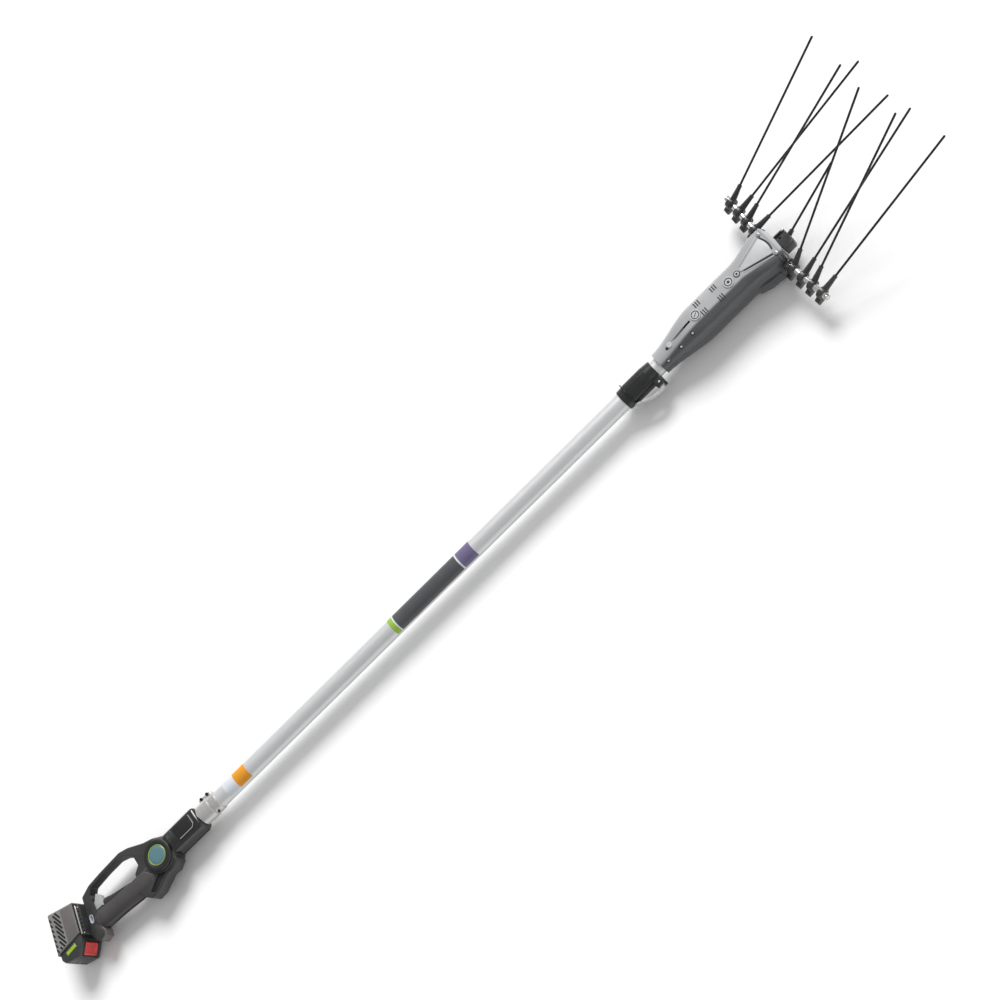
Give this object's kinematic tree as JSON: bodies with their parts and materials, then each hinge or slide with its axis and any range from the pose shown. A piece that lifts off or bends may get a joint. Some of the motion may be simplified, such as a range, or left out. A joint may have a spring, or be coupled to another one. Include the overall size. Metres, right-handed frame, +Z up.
{
  "type": "electric olive harvester",
  "caption": "Battery pole tool with a looped handle, telescopic tube and a motor head that rocks a comb of long fanned tines to shake olives off branches.",
  "frame": {"origin": "middle of the bounding box at floor level, the tool lying flat", "axes": "+X along the pole from handle to comb, +Y to the hand loop's side, +Z up on the badge's side"},
  "size_m": [2.3488, 0.305, 0.2489],
  "materials": {
    "handle_plastic": "satin",
    "soft_grip": "matte",
    "gloss_black": "gloss",
    "badge_disc": "gloss",
    "trigger_grey": "satin",
    "light_grey": "satin",
    "guard_grey": "satin",
    "battery_plastic": "satin",
    "battery_cell": "satin",
    "lime_strip": "gloss",
    "red_button": "gloss",
    "bright_steel": "polished",
    "contact_brass": "polished",
    "circuit_board": "matte",
    "switch_black": "matte",
    "dark_steel": "black oxide",
    "pole_silver": "anodised",
    "cast_aluminium": "cast",
    "collar_black": "satin",
    "head_grey": "satin",
    "head_dark": "satin",
    "tine_black": "satin",
    "motor_metal": "satin",
    "gear_steel": "satin"
  },
  "bodies": {
    "handle": {"handle_upper_shell": "handle_plastic", "handle_lower_shell": "handle_plastic", "grip_cover": "soft_grip", "badge_cap": "gloss_black", "badge_ring": "badge_disc", "trigger_pin": "bright_steel", "trigger_spring": "bright_steel", "trigger_switch": "switch_black", "control_board": "circuit_board", "box_cover": "gloss_black", "battery_dock": "handle_plastic", "dock_rails": "bright_steel", "vented_guard": "guard_grey", "pole_clamp": "cast_aluminium", "clamp_bolts": "dark_steel", "pole_tube": "pole_silver", "pole_plug": "collar_black", "collar": "collar_black", "collar_liner": "collar_black", "lever_pin": "bright_steel"},
    "trigger": {"trigger": "trigger_grey"},
    "switch": {"switch_button": "light_grey"},
    "lever": {"lever": "cast_aluminium"},
    "battery": {"battery_case": "battery_plastic", "battery_cells": "battery_cell", "battery_contacts": "contact_brass", "battery_strip": "lime_strip", "release_spring": "bright_steel"},
    "release": {"release_button": "red_button"},
    "head": {"inner_tube": "pole_silver", "guide_bush": "collar_black", "head_upper_shell": "head_grey", "head_lower_shell": "head_dark", "top_panel": "light_grey", "front_cap": "head_grey", "head_bosses": "head_grey", "head_screws": "dark_steel", "bearing_left": "head_dark", "bearing_right": "head_dark", "centre_bracket": "head_dark", "centre_tine": "tine_black", "motor_can": "motor_metal", "gear_plate": "cast_aluminium"},
    "comb": {"yoke": "cast_aluminium", "comb_bar": "bright_steel", "bar_nuts": "bright_steel", "holders_left": "head_dark", "holders_right": "head_dark", "holder_bolts": "dark_steel", "tines_left": "tine_black", "tines_right": "tine_black"},
    "crank": {"crank_gear": "gear_steel"},
    "rotor": {"rotor": "motor_metal"}
  },
  "joints": [
    {"name": "trigger_pull", "type": "hinge", "parent": "handle", "child": "trigger", "pos_m": [-0.95253, -0.007, 0.0385], "axis": [0, 0, 1], "range_deg": [0, 6], "stiffness_Nm_per_rad": 2},
    {"name": "switch_press", "type": "slide", "parent": "handle", "child": "switch", "axis": [-0.9613, 0.2756, 0], "range_m": [0, 0.003], "stiffness_N_per_m": 800},
    {"name": "lever_open", "type": "hinge", "parent": "handle", "child": "lever", "pos_m": [0.50338, -0.02925, 0.0385], "axis": [0, 0, 1], "range_deg": [0, 100]},
    {"name": "battery_slide", "type": "slide", "parent": "handle", "child": "battery", "axis": [-0.2756, -0.9613, 0], "range_m": [0, 0.1]},
    {"name": "release_press", "type": "slide", "parent": "battery", "child": "release", "axis": [-0.6947, 0.7193, 0], "range_m": [0, 0.004], "stiffness_N_per_m": 800},
    {"name": "telescope", "type": "slide", "parent": "handle", "child": "head", "axis": [1, 0, 0], "range_m": [0, 0.68]},
    {"name": "comb_swing", "type": "hinge", "parent": "head", "child": "comb", "pos_m": [0.82888, 0, 0.0485], "axis": [0, 1, 0], "range_deg": [-12, 12]},
    {"name": "crank_turn", "type": "hinge", "parent": "head", "child": "crank", "pos_m": [0.77288, 0, 0.0485], "axis": [1, 0, 0], "range_deg": [-90, 90]},
    {"name": "rotor_spin", "type": "hinge", "parent": "head", "child": "rotor", "pos_m": [0.73088, 0, 0.0281], "axis": [1, 0, 0], "range_deg": [-270, 270]}
  ],
  "couplings": [
    {"joint": "crank_turn", "follows": "comb_swing", "ratio": 7.5},
    {"joint": "rotor_spin", "follows": "comb_swing", "ratio": -22.5}
  ]
}
